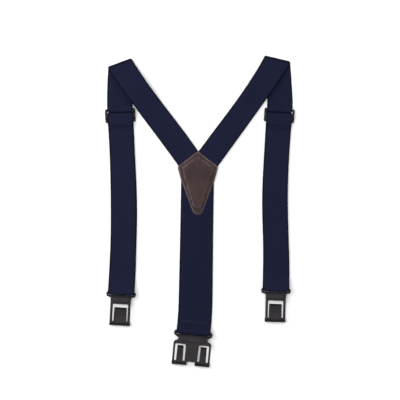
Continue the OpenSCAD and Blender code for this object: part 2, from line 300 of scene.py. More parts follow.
def fillet(points, radius, closed=False):
    """The line with its corners rounded, each cut back by no more than half a side."""
    points = [np.array(p, float) for p in points]
    count = len(points)
    rounded = []
    for i, p in enumerate(points):
        if not closed and i in (0, count - 1):
            rounded.append(p)
            continue
        back, ahead = points[i - 1] - p, points[(i + 1) % count] - p
        long_back, long_ahead = np.linalg.norm(back), np.linalg.norm(ahead)
        cosine = np.clip(back @ ahead / (long_back * long_ahead), -1, 1)
        half_angle = max(math.acos(cosine) / 2, 0.01)
        cut = min(radius / math.tan(half_angle), 0.48 * long_back, 0.48 * long_ahead)
        if cut < 1e-3:
            rounded.append(p)
            continue
        a, b = p + back / long_back * cut, p + ahead / long_ahead * cut
        for t in np.linspace(0, 1, FILLET_STEPS + 1):
            rounded.append((1 - t) ** 2 * a + 2 * t * (1 - t) * p + t * t * b)
    return np.array(rounded)


def refined(line, longest):
    """The line with points added, so that no stretch is longer than longest."""
    points = [line[0]]
    for a, b in zip(line[:-1], line[1:]):
        steps = max(1, math.ceil(np.linalg.norm(b - a) / longest))
        points += [a + (b - a) * k / steps for k in range(1, steps + 1)]
    return np.array(points)


def closed_line(loop):
    return np.vstack([loop, loop[:1]])


def lengths_along(line):
    """Each point's distance from the first one, along the line."""
    return np.concatenate([[0], np.cumsum(np.linalg.norm(np.diff(line, axis=0), axis=1))])


def points_at(line, lengths, at):
    """Points of the line at distances along it, where lengths are its own points' distances."""
    return np.stack([np.interp(at, lengths, line[:, k]) for k in (0, 1)], -1)


def hermite(p0, d0, p1, d1, count, pull=1.0):
    """A smooth curve from p0, leaving along d0, to p1, arriving along d1."""
    t = np.linspace(0, 1, count)[:, None]
    reach = pull * np.linalg.norm(p1 - p0)
    leave = (t**3 - 2 * t**2 + t) * reach * d0
    arrive = (t**3 - t**2) * reach * d1
    return (2 * t**3 - 3 * t**2 + 1) * p0 + leave + (3 * t**2 - 2 * t**3) * p1 + arrive


def arc(centre, radius, start, end, count):
    """Points of an arc, with angles in degrees."""
    angles = np.radians(np.linspace(start, end, count))
    return np.stack([centre[0] + radius * np.cos(angles), centre[1] + radius * np.sin(angles)], 1)


class Plan:
    """The centre line of a strap in plan. v is the distance along it from the point origin."""

    def __init__(self, points, origin):
        self.points = np.array(points)
        self.v = lengths_along(self.points)
        self.v -= self.v[np.argmin(np.linalg.norm(self.points - origin, axis=1))]

    def centre(self, v):
        return points_at(self.points, self.v, v)

    def down(self, v):
        step = self.centre(np.asarray(v) + 1.0) - self.centre(np.asarray(v) - 1.0)
        return step / np.linalg.norm(step, axis=-1, keepdims=True)


# ---------------------------------------------------------------- meshes


def mesh_piece(name, vertices, faces, material, sharp=40.0, attributes=()):
    """A new object from vertices in millimetres, closed, smooth-shaded and with its sharp edges marked."""
    mesh = bpy.data.meshes.new(name)
    mesh.from_pydata([tuple(float(c) * MM for c in v) for v in vertices], [], faces)
    for key, values in dict(attributes).items():
        values = np.asarray(values, np.float32)
        kind, field = ("FLOAT", "value") if values.ndim == 1 else ("FLOAT_VECTOR", "vector")
        mesh.attributes.new(key, kind, "POINT").data.foreach_set(field, values.ravel())
    return finished(name, mesh, material, sharp)


def finished(name, mesh, material, sharp=40.0):
    edit = bmesh.new()
    edit.from_mesh(mesh)
    bmesh.ops.remove_doubles(edit, verts=edit.verts, dist=2e-6)
    bmesh.ops.recalc_face_normals(edit, faces=edit.faces)
    for face in edit.faces:
        face.smooth = True
    for edge in edit.edges:
        edge.smooth = len(edge.link_faces) == 2 and edge.calc_face_angle(0) < math.radians(sharp)
    edit.to_mesh(mesh)
    edit.free()
    mesh.materials.clear()
    mesh.materials.append(material)
    piece = bpy.data.objects.new(name, mesh)
    bpy.context.scene.collection.objects.link(piece)
    return piece


def ring_faces(rings, size, first=0):
    """Quads between neighbouring rings of size points each, where first is the first ring's first point."""
    faces = []
    for r in range(rings - 1):
        for k in range(size):
            a, b = first + r * size + k, first + r * size + (k + 1) % size
            faces.append((a, b, b + size, a + size))
    return faces


# The webbing's cross-section: how far in from the edge, and how high as a share of half the thickness.
SECTION = [(0.0, 0.0), (0.10, 0.50), (0.35, 0.84), (0.8, 1.0), (1.5, 1.02), (2.2, 1.0)]
SECTION += [(2.6, 0.80), (3.0, 0.80), (3.5, 0.96)]  # the groove beside the selvedge
INNER_COLUMNS = 8


def section_for(width):
    """The cross-section's upper half, from edge to edge, as distances across and heights."""
    last, high = SECTION[-1]
    middle = [(x, high) for x in np.linspace(last, width - last, INNER_COLUMNS + 1)[1:-1]]
    return SECTION + middle + [(width - inset, high) for inset, high in reversed(SECTION)]


def ribbon(name, stations, width, thickness, material, along_from=0.0, crease=None):
    """A strip of webbing. stations are rows of (edge point, other edge point, normal), and crease is
    each row's distance from a sharp fold, which gets the same painted shade as an edge."""
    outer, inner, normal = (np.array(part, float) for part in stations)
    upper = section_for(width)
    lower = [(x, -high) for x, high in reversed(upper[1:-1])]
    ring = [(x / width, high) for x, high in upper + lower]
    along = along_from + lengths_along((outer + inner) / 2)
    crease = np.full(len(along), width) if crease is None else crease
    vertices, strip = [], []
    for a, b, n, s, fold in zip(outer, inner, normal, along, crease):
        for share, high in ring:
            vertices.append(a + (b - a) * share + n * high * thickness / 2)
            # Painted shade: near a fold the inset drops to the distance from it, so the fold darkens like an
            # edge.
            inset = min(share * width, (1 - share) * width, fold)
            strip.append(((share - 0.5) * width * MM, s * MM, inset * MM))
    size, rows = len(ring), len(outer)
    faces = ring_faces(rows, size)
    for r in (0, rows - 1):
        for k in range(len(upper) - 1):
            corners = [k, k + 1, (size - k - 1) % size, (size - k) % size]
            faces.append(tuple(dict.fromkeys(r * size + c for c in corners)))
    piece = mesh_piece(name, vertices, faces, material, attributes={"strip": strip})
    return piece


def rows_on(plan, line, half_width, sign, shift=0.0):
    """Stations along a side view given as (v, z), on the strap whose centre line in plan is plan."""
    tangent = np.gradient(line, axis=0)
    tangent /= np.linalg.norm(tangent, axis=1)[:, None]
    down = plan.down(line[:, 0])
    across = np.stack([-down[:, 1], down[:, 0]], 1)
    centre = plan.centre(line[:, 0]) + across * np.broadcast_to(shift, len(line))[:, None]
    half = np.broadcast_to(half_width, len(line))[:, None] * sign
    normal = np.concatenate([down * tangent[:, 1:], -tangent[:, :1]], 1)
    edges = (centre - across * half, centre + across * half)
    return [*(np.concatenate([edge, line[:, 1:]], 1) for edge in edges), normal]


def evaluated(holder):
    """The mesh that a temporary object makes, which is then removed."""
    bpy.context.scene.collection.objects.link(holder)
    mesh = bpy.data.meshes.new_from_object(holder.evaluated_get(bpy.context.evaluated_depsgraph_get()))
    bpy.data.objects.remove(holder)
    return mesh


def plate(loops, thickness, bevel, steps=2):
    """A flat plate with rounded edges, centred on z 0. The first loop is its outline, the rest are holes."""
    curve = bpy.data.curves.new("plate", "CURVE")
    curve.dimensions = "2D"
    curve.fill_mode = "BOTH"
    for loop in loops:
        spline = curve.splines.new("POLY")
        spline.points.add(len(loop) - 1)
        for point, place in zip(spline.points, loop):
            point.co = (place[0] * MM, place[1] * MM, 0, 1)
        spline.use_cyclic_u = True
    curve.extrude = (thickness / 2 - bevel) * MM
    curve.bevel_depth = bevel * MM
    curve.bevel_resolution = steps
    curve.offset = -bevel * MM
    holder = bpy.data.objects.new("plate", curve)
    mesh = evaluated(holder)
    edit = bmesh.new()
    edit.from_mesh(mesh)
    bmesh.ops.remove_doubles(edit, verts=edit.verts, dist=2e-6)
    edit.to_mesh(mesh)
    edit.free()
    return mesh


def raised(mesh, z):
    mesh.transform(Matrix.Translation((0, 0, z * MM)))
    return mesh


# Turns a plate drawn as (y, z) upright, with its thickness along x.
UPRIGHT = Matrix(((0, 0, 1, 0), (1, 0, 0, 0), (0, 1, 0, 0), (0, 0, 0, 1)))


def upright(loops, width, bevel, x=0.0):
    mesh = plate(loops, width, bevel)
    mesh.transform(Matrix.Translation((x * MM, 0, 0)) @ UPRIGHT)
    return mesh


def fused(name, meshes, voxel, smoothing, material, sharp=60.0):
    """One moulded piece from overlapping meshes."""
    joined = bmesh.new()
    for mesh in meshes:
        joined.from_mesh(mesh)
    mesh = bpy.data.meshes.new(name)
    joined.to_mesh(mesh)
    joined.free()
    holder = bpy.data.objects.new("fusing", mesh)
    remesh = holder.modifiers.new("fuse", "REMESH")
    remesh.mode = "VOXEL"
    remesh.voxel_size = voxel * MM
    soften = holder.modifiers.new("soften", "SMOOTH")
    soften.factor = 0.5
    soften.iterations = smoothing
    return finished(name, evaluated(holder), material, sharp)


def placed(mesh, centre, degrees):
    """Moves a mesh made round the origin to its place in the frame."""
    place = Matrix.Translation((centre[0] * MM, centre[1] * MM, 0))
    mesh.transform(place @ Matrix.Rotation(math.radians(degrees), 4, "Z"))


STITCH_RADIUS = 0.27
STITCH_RINGS = 7
STITCH_SIDES = 6


def stitches(name, centres, directions, normals, length, material):
    """Threads that rise out of the cloth, lie on it and go back in, one at each centre."""
    vertices, faces = [], []
    for centre, direction, normal in zip(centres, directions, normals):
        centre, ahead, up = np.array(centre, float), unit(direction), unit(normal)
        aside = np.cross(up, ahead)
        first = len(vertices)
        for k in range(STITCH_RINGS):
            s = -1 + 2 * k / (STITCH_RINGS - 1)
            middle = centre + ahead * s * length / 2 + up * (0.17 - 0.45 * s**4)
            radius = STITCH_RADIUS * (1 - 0.45 * s**6)
            for j in range(STITCH_SIDES):
                a = 2 * math.pi * j / STITCH_SIDES
                vertices.append(middle + aside * radius * math.cos(a) + up * radius * math.sin(a))
        faces += ring_faces(STITCH_RINGS, STITCH_SIDES, first)
        last = first + (STITCH_RINGS - 1) * STITCH_SIDES
        faces.append(tuple(range(first, first + STITCH_SIDES)))
        faces.append(tuple(range(last, last + STITCH_SIDES)))
    return mesh_piece(name, vertices, faces, material, sharp=80.0)


# ---------------------------------------------------------------- places taken from the frame


def box(node):
    low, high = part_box(node)
    return np.array(low) / MM, np.array(high) / MM


def thickness_of(node):
    low, high = box(node)
    return high[2] - low[2]


def joint_place(name):
    return np.array(JOINTS[name]["pos_m"]) / MM


def joint_axis(name):
    return np.array(JOINTS[name]["axis"][:2], float)


def clip_turn(name):
    axis = joint_axis(f"{name}_clip_pivot")
    return math.degrees(math.atan2(axis[1], axis[0]))


ADJUSTER_TURN = {"left": 3.0, "right": -4.0}
STRAP_WIDTH = 38.1
STRAP_THICKNESS = thickness_of("left_front_strap")
BACK_WIDTH = 52.0
BACK_THICKNESS = thickness_of("back_strap")
LOW = STRAP_THICKNESS / 2
SHOULDER_Z = box("left_shoulder_strap")[0][2] + LOW
BAR_Z = joint_place("left_clip_pivot")[2]
LAYER = STRAP_THICKNESS + 0.1
OUTER_Z = box("left_outer_run")[0][2] + LOW
PATCH_LOW, PATCH_HIGH = box("patch_front")
PATCH_X = (PATCH_LOW[0] + PATCH_HIGH[0]) / 2
LOOP_REACH = 26.0
WEAVE_TOP = 24.0
WEAVE_END = 30.0
BACK_LOOP_REACH = 33.0
LOOP_RADIUS = 1.75 + LOW
# How hard the run between the adjuster and the clip pulls on its ends, and how far it swings to the right.
BOW = 1.25
SWAY = {"left": -0.4, "right": -1.9}


class Side:
    """Where everything on one shoulder is."""

    def __init__(self, name):
        self.name = name
        self.sign = 1 if name == "left" else -1
        low, high = box(f"{name}_shoulder_strap")
        self.fold_centre = joint_place(f"{name}_shoulder_fold")[:2]
        self.fold_z = joint_place(f"{name}_shoulder_fold")[2]
        line = joint_axis(f"{name}_shoulder_fold")
        outer_x = low[0] if name == "left" else high[0]
        self.fold_outer = self.fold_centre + line * (outer_x - self.fold_centre[0]) / line[0]
        self.fold_inner = 2 * self.fold_centre - self.fold_outer
        self.away = np.array([-line[1], line[0]]) * np.sign(line[0])
        low, high = box(f"{name}_slider")
        self.adjuster = (low[:2] + high[:2]) / 2
        self.adjuster_turn = ADJUSTER_TURN[name]
        self.bar = joint_place(f"{name}_clip_pivot")[:2]
        self.clip_turn = clip_turn(name)
        self.plan = self.make_plan()
        self.length = float(self.plan.v[np.argmin(np.linalg.norm(self.plan.points - self.bar, axis=1))])
        self.run_end = self.length - LOOP_REACH
        self.elastic = WEAVE_END + 0.9 * (self.run_end - WEAVE_END)
        self.upper_length = float(np.linalg.norm(self.fold_centre - self.plan.centre(-WEAVE_TOP)))

    def make_plan(self):
        down = turned((0, -1), self.adjuster_turn)
        clip_down = turned((0, -1), self.clip_turn)
        above, below = self.adjuster - down * 12, self.adjuster + down * 16
        near_bar, past_bar = self.bar - clip_down * 8, self.bar + clip_down * 5
        first = unit(above - self.fold_centre)
        start = self.fold_centre - first * 16
        upper = hermite(self.fold_centre, first, above, down, 30)
        through = refined(np.array([above, self.adjuster, below]), 1.0)
        lower = hermite(below, down, near_bar, clip_down, 160, BOW)
        lower[:, 0] += SWAY[self.name] * np.sin(np.linspace(0, math.pi, 160)) ** 2
        ends = refined(np.array([near_bar, self.bar, past_bar]), 1.0)
        return Plan(np.concatenate([[start], upper, through[1:], lower[1:], ends[1:]]), self.adjuster)

    def point(self, v, z=0.0):
        x, y = self.plan.centre(v)
        return (x * MM, y * MM, z * MM)


# ---------------------------------------------------------------- webbing

FOLD_ROWS = 11
SHOULDER_START = {"left": 30.5, "right": 28.0}  # degrees from the back's line where the strap leaves the fold
SHOULDER_END = {"left": 33.8, "right": 35.6}
FOLD_ROUND = {"left": (1.8, 3.0), "right": (3.2, 2.0)}  # of the fold's outer and inner corner
OUTER_PULL = {"left": 0.7, "right": 0.4}
FOLD_LOOSE = {"left": 0.8, "right": 1.4}
PUFF = 5.0  # how far the shoulder strap stands off the front strap
PUFF_LENGTH = 95.0
UPPER_BULGE = {"left": 0.5, "right": 0.2}
TAB = 5.0  # how far the shoulder's webbing goes down the front
NEAR_FOLD = (0.0, 0.4, 0.9, 1.6, 2.6, 4.0)
# Where a shoulder strap's outer and inner edge meet the patch, and where they end under it: a shift to the
# right, the distance from the patch's middle, and y.
EDGES_MEET = ((0.6, 29.0, 69.0), (0.9, 0.3, PATCH_HIGH[1] + 0.4))
EDGES_END = ((0.0, 24.0, 63.0), (0.0, 0.3, 67.0))
HIDDEN_ROWS = 8
HIDDEN_STEP = 3.0
PINCH = 2.2
# How much further than half the nominal width the webbing's edges lie: everywhere, and where it is spread.
SPREAD = 0.8
RUN_SPREAD, CLIP_SPREAD, ADJUSTER_SPREAD = 0.5, 0.7, 0.45
LIFT = 0.55
HEM_ROW = 14.8
HEM_ROW_Z = 6.95
UNDER_SHIFT = {"left": 0.9, "right": 0.2}  # how far the lower run shows beside the upper one


def rounded_off(distance, radius):
    """How far a corner of that radius is cut back, at a distance from the end."""
    d = np.clip(distance, 0, radius)
    return radius - np.sqrt(d * (2 * radius - d))


def edge_curve(start, end, side, pull=1.0):
    """One edge of a shoulder strap, from the fold to the patch, with a soft bend."""
    leave = turned((0, -1), side.sign * SHOULDER_START[side.name])
    arrive = turned((0, -1), side.sign * SHOULDER_END[side.name])
    curve = hermite(np.array(start), leave, np.array(end), arrive, 60, pull)
    lengths = lengths_along(curve)
    at = np.concatenate([NEAR_FOLD, np.linspace(6.0, lengths[-1], 56)])
    return points_at(curve, lengths, at), at


def drawn_in(side, outer, inner, distances):
    """Rounds the corners of the fold off: moves the ends of the rows near it along the fold line."""
    line = unit(side.fold_inner - side.fold_outer)
    outer_radius, inner_radius = FOLD_ROUND[side.name]
    outer[:, :2] += line * rounded_off(distances, outer_radius)[:, None]
    inner[:, :2] -= line * rounded_off(distances, inner_radius)[:, None]


def by_patch(side, shift, out, y):
    return (PATCH_X + shift - side.sign * out, y)


def strap_edges(side):
    """The outer and inner edge from the fold to under the patch, and the rows' distances along the outer."""
    corners, pulls = (side.fold_outer, side.fold_inner), (OUTER_PULL[side.name], 1.0)
    edges, distances = [], []
    for corner, meet, end, pull in zip(corners, EDGES_MEET, EDGES_END, pulls):
        edge, at = edge_curve(corner, by_patch(side, *meet), side, pull)
        hidden = np.linspace(edge[-1], by_patch(side, *end), HIDDEN_ROWS + 1)[1:]
        edges.append(np.concatenate([edge, hidden]))
        distances.append(at)
    return edges, distances[0]


def strap_rows(side, radius):
    """Rows from the fold to under the patch, and their distances from the fold's outermost line."""
    edges, at = strap_edges(side)
    puff = PUFF * np.sin(math.pi * np.clip(at / PUFF_LENGTH, 0, 1)) ** 2
    puff = np.concatenate([puff, np.zeros(HIDDEN_ROWS)])
    distances = np.concatenate([at, at[-1] + HIDDEN_STEP * np.arange(1, HIDDEN_ROWS + 1)]) + radius
    z = (SHOULDER_Z + puff)[:, None]
    up = np.tile([0.0, 0.0, 1.0], (len(z), 1))
    up[:, :2] = side.away * np.gradient(puff, distances)[:, None]
    return [*(np.concatenate([edge, z], 1) for edge in edges), up], distances


def turn_rows(side, radius):
    """Rows of the half turn at the fold, and their distances from its outermost line."""
    angles = np.radians(np.linspace(0, 180, FOLD_ROWS)[1:])
    loose = radius + FOLD_LOOSE[side.name]
    outward, rise = loose * np.sin(angles), side.fold_z + radius * np.cos(angles)
    rows = [np.concatenate([corner + side.away * outward[:, None], rise[:, None]], 1)
        for corner in (side.fold_outer, side.fold_inner)]
    rows.append(np.concatenate([side.away * np.sin(angles)[:, None], np.cos(angles)[:, None]], 1))
    return rows, loose - outward


def shoulder_webbing(side, material):
    """From under the patch to the fold, round it, and a few millimetres down the front."""
    radius = SHOULDER_Z - side.fold_z
    strap, strap_distances = strap_rows(side, radius)
    turn, turn_distances = turn_rows(side, radius)
    tab_distances = np.linspace(0, TAB, 6)[1:]
    tab = front_rows(side, tab_distances)
    rows = [np.concatenate([a[::-1], b, c]) for a, b, c in zip(strap, turn, tab)]
    crease = np.concatenate([strap_distances[::-1], turn_distances, radius + tab_distances])
    drawn_in(side, rows[0], rows[1], crease)
    name = f"{side.name}_shoulder_webbing"
    # crease also gives the top of the fold the same painted shade as the edges.
    piece = ribbon(name, rows, STRAP_WIDTH, STRAP_THICKNESS, material, crease=crease)
    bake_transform(piece)
    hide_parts(f"{side.name}_shoulder_strap", f"{side.name}_shoulder_fold")


def front_rows(side, distances):
    """Rows of the front strap, at distances from the fold. The weave's top is at side.upper_length."""
    weave_top = np.array([[-WEAVE_TOP, LOW], [-WEAVE_TOP + 1, LOW]])
    top = [part[:1] for part in rows_on(side.plan, weave_top, front_width(np.array([-WEAVE_TOP])), side.sign)]
    share = (np.asarray(distances, float) / side.upper_length)[:, None]
    rows = [np.array([[*corner, LOW]]) * (1 - share) + edge * share
        for corner, edge in ((side.fold_outer, top[0]), (side.fold_inner, top[1]))]
    bulge = UPPER_BULGE[side.name] * np.sin(math.pi * np.clip(share, 0, 1))
    outward = np.array([-side.sign, 0.0, 0.0])
    return [rows[0] + outward * bulge, rows[1] + outward * bulge, np.tile([0.0, 0.0, -1.0], (len(share), 1))]


def front_webbing(side, material):
    """Down the front, from the fold to the adjuster."""
    stations = front_rows(side, np.linspace(TAB, side.upper_length, 34))
    piece = ribbon(f"{side.name}_front_webbing", stations, STRAP_WIDTH, STRAP_THICKNESS, material)
    first_y = min(stations[0][0][1], stations[1][0][1])
    start_v = -WEAVE_TOP - (first_y - side.point(-WEAVE_TOP)[1] / MM) + 1.0
    stop = side.point(-WEAVE_TOP - 1.5, LOW)
    side.point(start_v, LOW)
    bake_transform(piece)
    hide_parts(f"{side.name}_front_strap")


def front_width(v):
    """Half the webbing's width at v. It is spread by the adjuster and round the clip's bar."""
    v = np.asarray(v, float)
    below = RUN_SPREAD * smooth(v, 40.0, 150.0) + CLIP_SPREAD * smooth(v, 190.0, 262.0)
    return STRAP_WIDTH / 2 + SPREAD + below + ADJUSTER_SPREAD * np.exp(-((v / 40.0) ** 2))


def pinched(v):
    """How far the webbing's outer edge is drawn in where it dips into the adjuster's upper slot."""
    return PINCH * np.exp(-(((v + 5.9) / 1.5) ** 2))


def over_bar(step):
    """The webbing's line over one outer bar, step layers above the lowest, going away from the centre."""
    top = box("left_slider")[0][2] + ADJUSTER_THICKNESS + 0.05 + LOW
    return [(6.5 - step * 0.5, top + step * LAYER), (11.9 + step * 0.6, top + step * LAYER),
        (16.4 + step * 0.6, LOW + step * LAYER)]


def above(line):
    return [(-v, z) for v, z in reversed(line)]


def weave_line():
    points = [(-WEAVE_TOP, LOW)] + above(over_bar(0)) + [(-4.4, LOW + 0.1), (4.4, LOW + 0.1)] + over_bar(0)
    return refined(fillet(points + [(WEAVE_END, LOW)], 1.6), 1.6)


def hem_line():
    """The sewn end: up to the centre bar, round it, and back down between the other two layers."""
    low, high, wrap, tail = 2.45, 6.35, 2.55, 17.6
    cut = 0.5  # off the corners round the bar
    points = [(WEAVE_END, OUTER_Z), (tail + 4.5, OUTER_Z), (tail + 0.8, LOW + 2 * LAYER)]
    points += list(reversed(over_bar(2)))
    points += [(1.5, high), (-wrap + cut, high), (-wrap, high - cut)]
    points += [(-wrap, low + cut), (-wrap + cut, low), (2.4, low), (4.2, 5.2)]
    points += over_bar(1) + [(tail, LOW + LAYER)]
    return refined(fillet(points, 1.4), 1.6)


def loop_line(length, radius, low, high, reach, ramp):
    """Round a clip's bar: in along the lower layer and back along the upper one."""
    turn = arc((0, BAR_Z), radius, -78, -290, 22)
    turn[:, 0] = length - turn[:, 0]
    points = np.concatenate([[(length - reach, low), (length - ramp, low)], turn,
        [(length - ramp - 1, high), (length - reach, high)]])
    return refined(fillet(points, 5.0), 2.0)


def lift(v, side):
    """How far the outer layer stands off the inner one: it never lies quite flat."""
    t = (v - WEAVE_END) / (side.run_end - WEAVE_END)
    return LIFT * np.sin(math.pi * t) ** 2 * (1 + 0.5 * np.sin(9.0 * t + side.sign))


def run_webbing(side, layer, part, material):
    """The inner or outer layer between the adjuster and the clip: its long run or its elastic end."""
    upper = layer == "outer"
    span = (WEAVE_END, side.elastic) if part == "run" else (side.elastic, side.run_end)
    v0, v1 = reversed(span) if upper else span
    v = np.linspace(v0, v1, max(8, int(abs(v1 - v0) / 4)))
    t = (v - WEAVE_END) / (side.run_end - WEAVE_END)
    height = np.full(len(v), OUTER_Z if upper else LOW) + (lift(v, side) if upper else 0)
    shift = 0 if upper else UNDER_SHIFT[side.name] * np.sin(math.pi * t) ** 2
    rows = rows_on(side.plan, np.stack([v, height], 1), front_width(v), side.sign, shift)
    name = f"{side.name}_{layer}_webbing" if part == "run" else f"{side.name}_{layer}_end_webbing"
    piece = ribbon(name, rows, STRAP_WIDTH, STRAP_THICKNESS, material, v0)
    start, end = side.point(span[0] + 1.5, LOW), side.point(span[1] - 1.5, LOW)
    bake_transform(piece)
    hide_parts(f"{side.name}_{layer}_{part}")


def line_webbing(side, name, line, body, node, material, pinch=0.0):
    """A stretch that bends round plastic, and so keeps its shape. pinch is a share of PINCH."""
    rows = rows_on(side.plan, line, front_width(line[:, 0]), side.sign)
    inward = unit(side.fold_inner - side.fold_outer)
    rows[0][:, :2] += inward * (pinch * pinched(line[:, 0]))[:, None]
    piece = ribbon(f"{side.name}_{name}_webbing", rows, STRAP_WIDTH, STRAP_THICKNESS, material)
    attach(piece, f"{side.name}_{body}")
    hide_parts(f"{side.name}_{node}")


def front_straps(side, material):
    shoulder_webbing(side, material)
    front_webbing(side, material)
    line_webbing(side, "adjuster", weave_line(), "slider", "slider_strap", material, 1.0)
    run_webbing(side, "inner", "run", material)
    run_webbing(side, "inner", "end", material)
    loop = loop_line(side.length, LOOP_RADIUS, LOW, OUTER_Z, LOOP_REACH, 21.0)
    line_webbing(side, "clip_loop", loop, "loop", "clip_loop", material)
    run_webbing(side, "outer", "end", material)
    run_webbing(side, "outer", "run", material)
    line_webbing(side, "hem", hem_line(), "slider", "slider_hem", material, 1.0)


def row_of_stitches(name, plan, v, z, half_width, material):
    """A row across the strap at v."""
    pitch, length = 3.4, 2.5
    count = int(2 * half_width / pitch)
    down = plan.down(v)
    across = np.array([-down[1], down[0]])
    spots = [plan.centre(v) + across * (i + 0.5 - count / 2) * pitch for i in range(count)]
    centres = [(*spot, z) for spot in spots]
    ahead = [(*across, 0.0)] * count
    return stitches(name, centres, ahead, [(0, 0, 1)] * count, length, material)


# ---------------------------------------------------------------- back strap

BACK_TAIL = 21.0
BACK_ROWS = (15.0, 18.0)


def back_plan():
    """Straight from the patch to the sewn end, and then in line with the clip."""
    axis = joint_axis("back_clip_pivot")
    bar = joint_place("back_clip_pivot")[:2]
    down = np.array([axis[1], -axis[0]])
    top = np.array([PATCH_X, box("back_strap")[1][1]])
    hem = bar - down * BACK_LOOP_REACH
    bend = hem + unit(top - hem) * 30
    straight = refined(np.array([top, bend]), 2.0)
    corner = hermite(bend, unit(hem - top), bar - down * 16, down, 24)
    ends = refined(np.array([bar - down * 16, bar, bar + down * 6]), 1.0)
    return Plan(np.concatenate([straight, corner[1:], ends[1:]]), bar)


def back_width(v):
    return BACK_WIDTH / 2 + 0.9 * smooth(v, -200.0, -10.0)


def back_webbing(plan, material):
    start_v = plan.v[0]
    patch_z = box("back_strap")[0][2] + BACK_THICKNESS / 2
    v = np.linspace(start_v, -BACK_LOOP_REACH, 60)
    line = np.stack([v, np.full(len(v), patch_z)], 1)
    rows = rows_on(plan, line, back_width(v), 1)
    piece = ribbon("back_webbing", rows, BACK_WIDTH, BACK_THICKNESS, material)
    below_patch = PATCH_LOW[1] - 6
    stop = plan.centre(-BACK_LOOP_REACH - 2)
    start = plan.centre(-BACK_LOOP_REACH - 2 + stop[1] - below_patch)
    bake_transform(piece)
    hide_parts("back_strap")


def back_hem(plan, material, thread):
    t = BACK_THICKNESS
    low, high = t / 2, t * 1.5 + 0.3
    turn = arc((0, BAR_Z), 1.85 + t / 2, -78, -282, 22)
    turn[:, 0] *= -1
    strap_z = box("back_strap")[0][2] + t / 2
    flat_from = BACK_ROWS[0] - 1.6
    points = np.concatenate([[(-BACK_TAIL, low), (-flat_from, low)], turn, [(-flat_from, high),
        (-BACK_TAIL - 2, high), (-BACK_TAIL - 7, strap_z), (-BACK_LOOP_REACH, strap_z)]])
    line = refined(fillet(points, 5.0), 2.0)
    rows = rows_on(plan, line, back_width(line[:, 0]), 1)
    piece = ribbon("back_hem_webbing", rows, BACK_WIDTH, t, material)
    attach(piece, "back_hem")
    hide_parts("back_hem")
    for k, v in enumerate(BACK_ROWS):
        z, half_row = high + t / 2 * 0.96, BACK_WIDTH / 2 - 3
        row = row_of_stitches(f"back_stitches_{k + 1}", plan, -v, z, half_row, thread)
        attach(row, "back_hem")
        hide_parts("back_stitching")


# ---------------------------------------------------------------- plastic

CLIP_PLATE = 2.3
CLIP_HEIGHT = box("left_clip")[1][2]
HOOK_LENGTH = 51.8
BACK_HOOK_LENGTH = 52.8
HOOK_RIM = 2.6  # left below a window, at the bottom of the bend
VOXEL = 0.42
PLATE_BEVEL = 0.9
BAR_RADIUS = 1.6
KNOB_RADIUS = 4.4
KNOB_Y = -1.9
RIDGES = 3
RIDGE_PITCH = 3.2
ADJUSTER_THICKNESS = 2.2
ADJUSTER_ARCH = 2.1
RIB_Y = -5.5


def rounded_rectangle(x0, y0, x1, y1, radius):
    return fillet([(x0, y0), (x1, y0), (x1, y1), (x0, y1)], radius, closed=True)


def bar_and_ends(width, webbing, web_top):
    """The round bar in the webbing's loop, a knob at each end of it, and a web between the knobs."""
    half, radius, y = width / 2, KNOB_RADIUS, KNOB_Y
    side = webbing / 2 + 0.1
    reach = math.degrees(math.acos((side - half + radius) / radius))
    knob = fillet(arc((half - radius, y), radius, -reach, reach, 15), 0.8, closed=True)
    meshes = [raised(plate([outline], 3.6, 1.0, 3), BAR_Z) for outline in (knob, knob * (-1, 1))]
    bar = arc((0, BAR_Z), BAR_RADIUS, 0, 345, 24)
    meshes.append(upright([bar], 2 * side + 1, 0.05))
    web = rounded_rectangle(0.8 - half, -6.2, half - 0.8, web_top, 0.2)
    meshes.append(raised(plate([web], 0.9, 0.1), BAR_Z - 0.55))
    return meshes


def hook_bend(width, length, x=0.0, top_angle=90):
    """The bend that joins the plate to the tongue, from the tongue's level up to top_angle."""
    radius = CLIP_HEIGHT / 2
    centre = (radius - length, radius)
    outer = arc(centre, radius, top_angle, 270, 22)
    inner = arc(centre, radius - CLIP_PLATE, 270, top_angle, 18)
    ahead = centre[0] + 2.0
    loop = np.concatenate([outer, [(ahead, 0), (ahead, CLIP_PLATE)], inner])
    if top_angle == 90:
        loop = np.concatenate([[(ahead, CLIP_HEIGHT)], loop, [(ahead, CLIP_HEIGHT - CLIP_PLATE)]])
    return upright([loop], width, 0.35, x)


def hook(left, right, window_left, window_right, length):
    """A bend from left to right, open in front of the window except for a rim at the bottom."""
    radius = CLIP_HEIGHT / 2
    rim_angle = math.degrees(math.acos((HOOK_RIM - radius) / radius))
    meshes = [hook_bend(right - left + 0.6, length, (left + right) / 2, rim_angle)]
    for a, b in ((left, window_left), (window_right, right)):
        meshes.append(hook_bend(b - a, length, (a + b) / 2))
    return meshes


def tongue(x, width, top, length):
    """Behind the plate, a little wider at its root, with a wedge at its free end and three grip ridges."""
    bottom = CLIP_HEIGHT / 2 - length - 1
    t, r = width / 2, width / 2 + 0.4
    outline = fillet([(x - r, bottom), (x + r, bottom), (x + t, top - 2), (x - t, top - 2)], 0.6, closed=True)
    meshes = [raised(plate([outline], CLIP_PLATE, 0.4), CLIP_PLATE / 2)]
    lip = CLIP_PLATE + 0.6
    tip = [(top - 3.4, 0.1), (top, 0.1), (top, 0.7), (top - 2.0, lip), (top - 3.0, lip)]
    meshes.append(upright([fillet(tip, 0.3, closed=True)], width, 0.3, x))
    for k in range(RIDGES):
        y = top - 6.0 - RIDGE_PITCH * k
        ridge = [(y - 0.9, CLIP_PLATE - 0.3), (y + 0.5, CLIP_PLATE - 0.3), (y, CLIP_PLATE + 0.45)]
        meshes.append(upright([fillet(ridge, 0.2, closed=True)], width - 3.0, 0.1, x))
    return meshes


